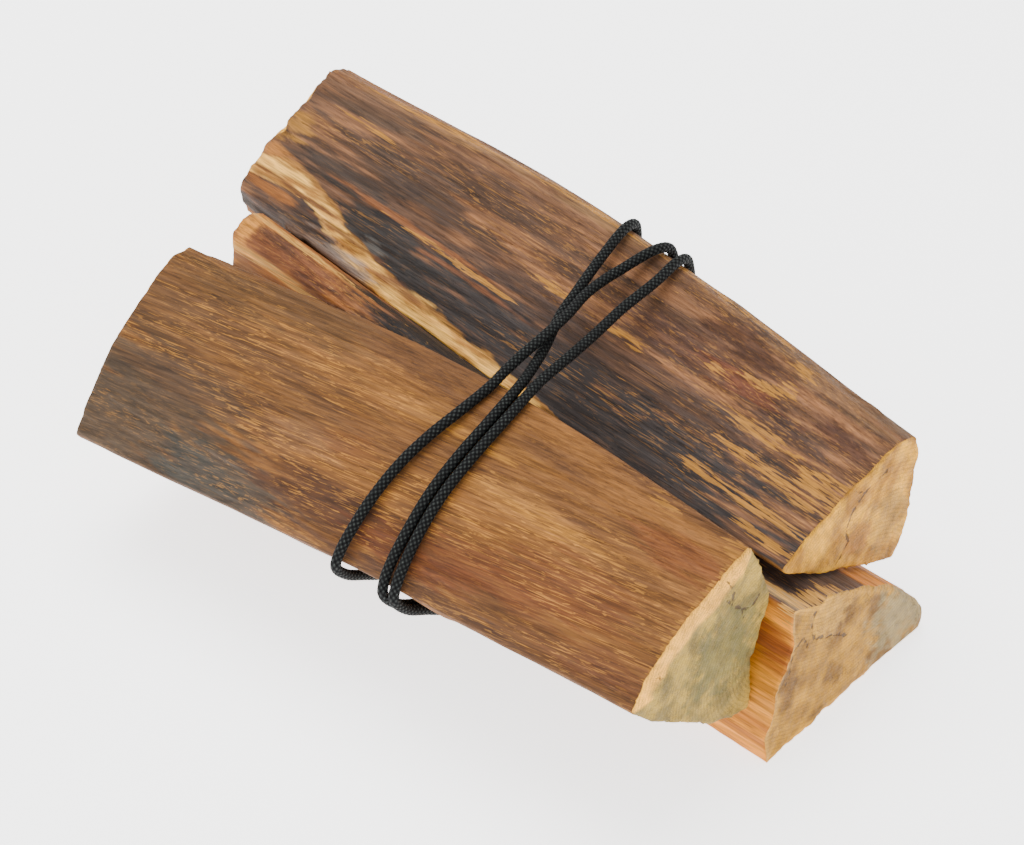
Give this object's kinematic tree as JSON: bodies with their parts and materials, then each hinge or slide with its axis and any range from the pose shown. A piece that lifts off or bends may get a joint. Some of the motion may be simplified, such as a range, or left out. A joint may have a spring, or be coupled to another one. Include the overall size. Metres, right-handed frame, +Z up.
{
  "type": "firewood bundle",
  "caption": "Split firewood logs lying side by side on a third, tied round the middle with a braided cord wound in turns and knotted at the back.",
  "frame": {"origin": "on the ground under the middle of the bundle's box", "axes": "+X along the logs, towards the end where the bottom log sticks out; +Z up"},
  "size_m": [0.3662, 0.2256, 0.1287],
  "materials": {
    "front_wood": "weathered, barked outside in ochre brown with fine pale fibres, pale sawn ends",
    "back_wood": "weathered brown face with a dark charcoal band and a cream streak along its edge, pale yellow sawn end",
    "bottom_wood": "freshly split orange face, ochre sawn end, grey weathered top",
    "cord": "black braided synthetic cord with grey highlights"
  },
  "bodies": {
    "root": {"front_log": "front_wood", "back_log": "back_wood", "bottom_log": "bottom_wood", "binding_cord": "cord"}
  },
  "joints": []
}
